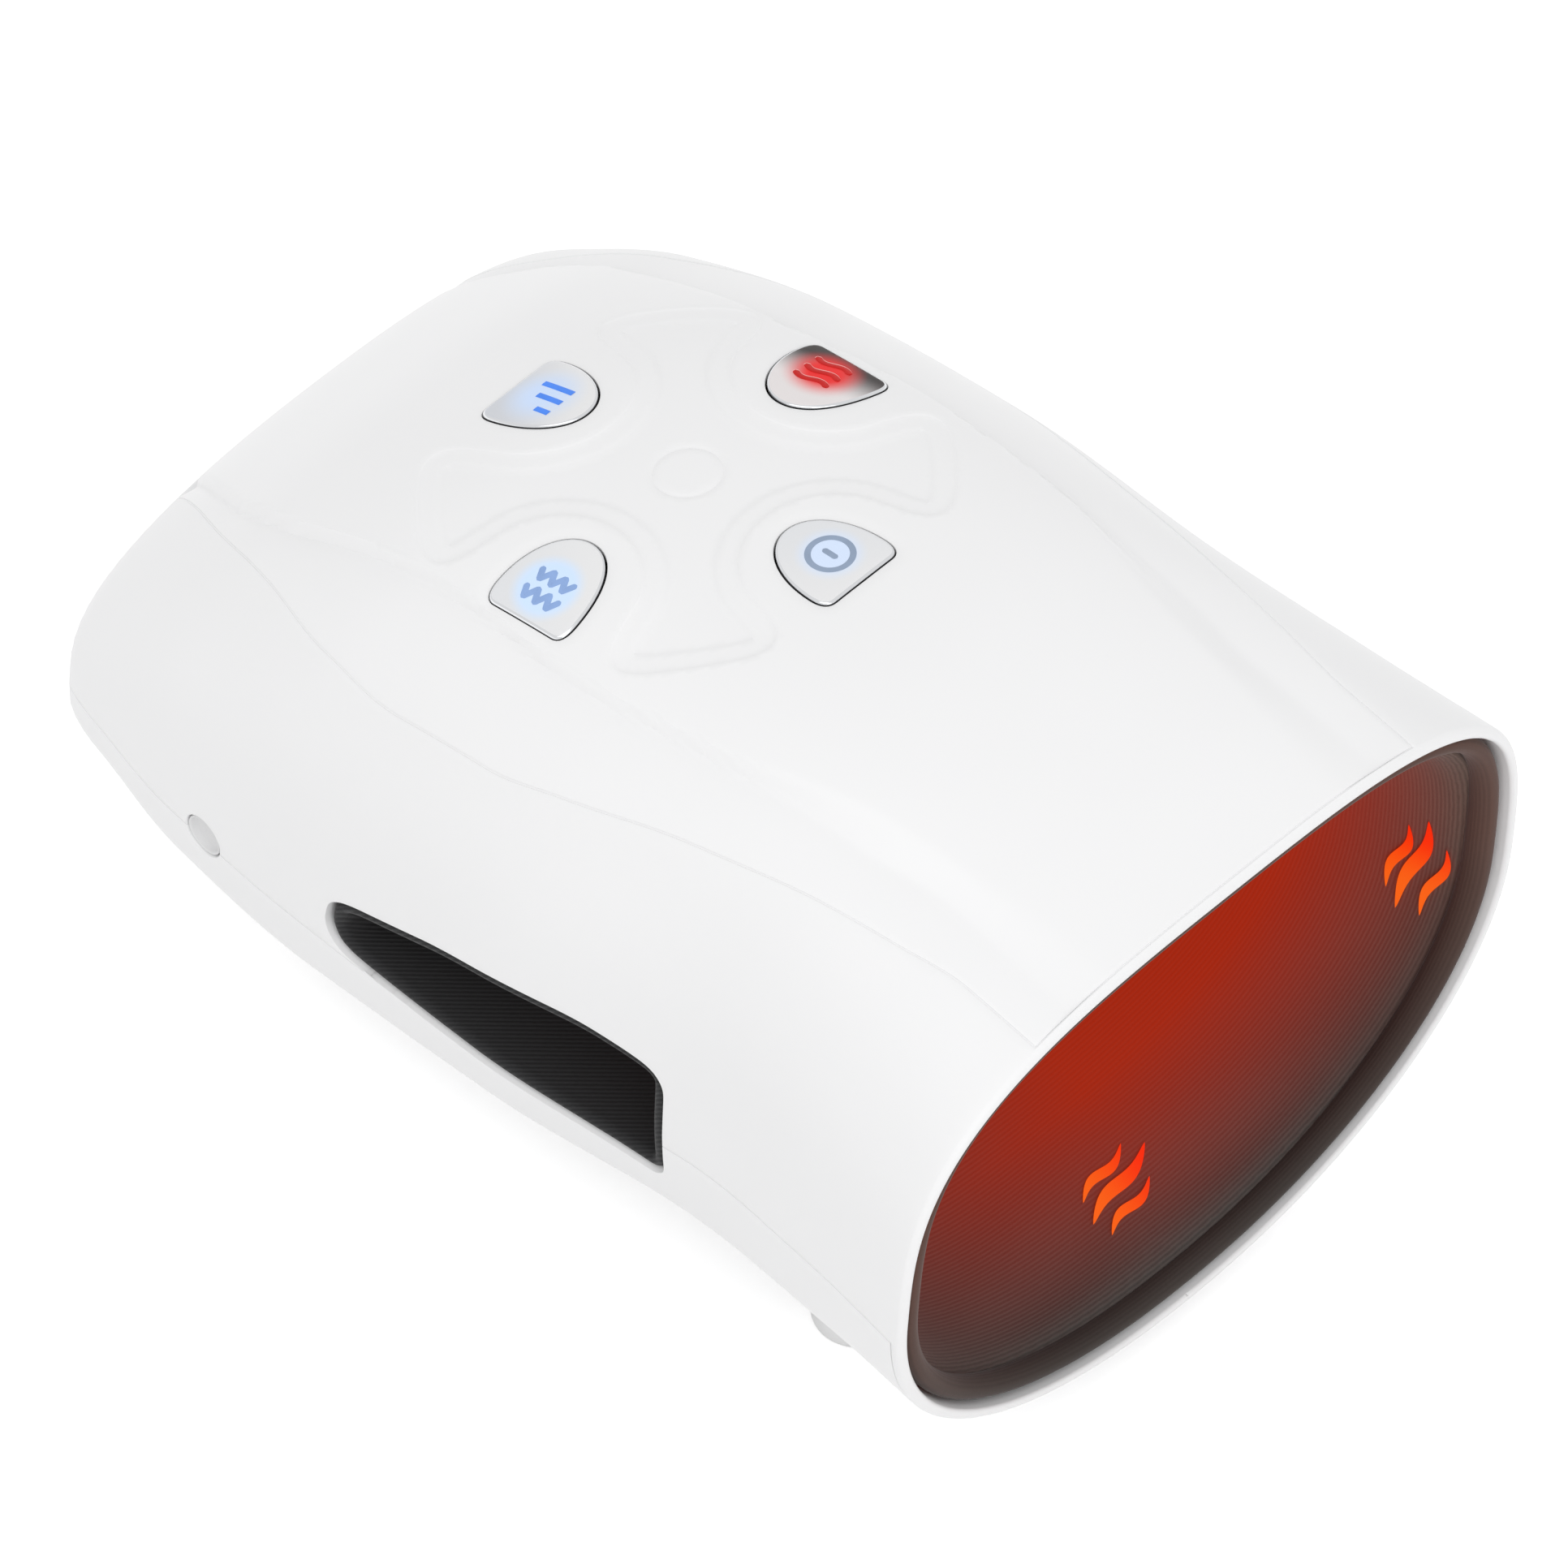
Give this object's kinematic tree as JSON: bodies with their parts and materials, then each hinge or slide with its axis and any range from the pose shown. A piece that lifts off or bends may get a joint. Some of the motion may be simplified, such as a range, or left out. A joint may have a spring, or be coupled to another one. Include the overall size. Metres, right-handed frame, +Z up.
{
  "type": "hand massager",
  "caption": "Hand massager: a hollow white housing with a wrist mouth, thumb openings, a padded heated lining and pressure buttons on its top cover.",
  "frame": {"origin": "floor point under the centre of the object's bounding box", "axes": "+Z up, -Y towards the wrist mouth, +Y towards the finger end, -X on the side of the charging socket"},
  "size_m": [0.157, 0.222, 0.1308],
  "materials": {
    "white_shell": "satin",
    "white_cover": "satin",
    "silver_button": "satin metallic",
    "dark_fabric": "ribbed",
    "heater": "matt",
    "bladder": "matt",
    "frame_plastic": "matt",
    "board": "satin",
    "dark_plastic": "matt",
    "steel": "brushed",
    "clear_plastic": "clear",
    "hose_rubber": "satin",
    "cell_wrap": "gloss",
    "foot_rubber": "matt"
  },
  "bodies": {
    "massager": {"upper_housing": "white_shell", "top_cover": "white_cover", "lower_base": "white_shell", "lining_upper": "dark_fabric", "lining_lower": "dark_fabric", "lining_rim": "dark_fabric", "thumb_sleeve_right": "dark_fabric", "thumb_sleeve_left": "dark_fabric", "heater_film": "heater", "airbag_back_of_hand": "bladder", "airbag_palm": "bladder", "airbag_fingers_upper": "bladder", "airbag_fingers_lower": "bladder", "inner_arch": "frame_plastic", "inner_tray": "frame_plastic", "control_board": "board", "switch_intensity": "dark_plastic", "switch_mode": "dark_plastic", "switch_power": "dark_plastic", "switch_heat": "dark_plastic", "lamp_intensity": "clear_plastic", "lamp_mode": "clear_plastic", "lamp_power": "clear_plastic", "lamp_heat": "clear_plastic", "pump_motor": "steel", "pump_head": "dark_plastic", "air_valve_left": "dark_plastic", "air_valve_right": "dark_plastic", "hose_right": "hose_rubber", "hose_left": "hose_rubber", "hose_fingers": "hose_rubber", "battery_cell_front": "cell_wrap", "battery_cell_rear": "cell_wrap", "battery_holder": "dark_plastic", "charge_socket": "dark_plastic", "charge_board": "board", "foot_front_left": "foot_rubber", "foot_front_right": "foot_rubber", "foot_rear_left": "foot_rubber", "foot_rear_right": "foot_rubber", "case_screw_1": "steel", "case_screw_2": "steel", "case_screw_3": "steel", "case_screw_4": "steel"},
    "intensity_key": {"button_intensity": "silver_button", "light_guide_intensity": "clear_plastic"},
    "mode_key": {"button_mode": "silver_button", "light_guide_mode": "clear_plastic"},
    "power_key": {"button_power": "silver_button", "light_guide_power": "clear_plastic"},
    "heat_key": {"button_heat": "silver_button", "light_guide_heat": "clear_plastic"},
    "pump_drive": {"pump_eccentric": "dark_plastic"},
    "left_plunger": {"valve_plunger_left": "steel"},
    "right_plunger": {"valve_plunger_right": "steel"}
  },
  "joints": [
    {"name": "press_intensity", "type": "slide", "parent": "massager", "child": "intensity_key", "axis": [0, -0.2196, -0.9756], "range_m": [0, 0.0009], "stiffness_N_per_m": 1500},
    {"name": "press_mode", "type": "slide", "parent": "massager", "child": "mode_key", "axis": [0, -0.2196, -0.9756], "range_m": [0, 0.0009], "stiffness_N_per_m": 1500},
    {"name": "press_power", "type": "slide", "parent": "massager", "child": "power_key", "axis": [0, -0.2196, -0.9756], "range_m": [0, 0.0009], "stiffness_N_per_m": 1500},
    {"name": "press_heat", "type": "slide", "parent": "massager", "child": "heat_key", "axis": [0, -0.2196, -0.9756], "range_m": [0, 0.0009], "stiffness_N_per_m": 1500},
    {"name": "pump_spin", "type": "hinge", "parent": "massager", "child": "pump_drive", "pos_m": [-0.004, -0.04214, 0.11109], "axis": [1, 0, 0], "continuous": true},
    {"name": "left_valve_stroke", "type": "slide", "parent": "massager", "child": "left_plunger", "axis": [0, 0, -1], "range_m": [0, 0.0015], "stiffness_N_per_m": 400},
    {"name": "right_valve_stroke", "type": "slide", "parent": "massager", "child": "right_plunger", "axis": [0, 0, -1], "range_m": [0, 0.0015], "stiffness_N_per_m": 400}
  ]
}
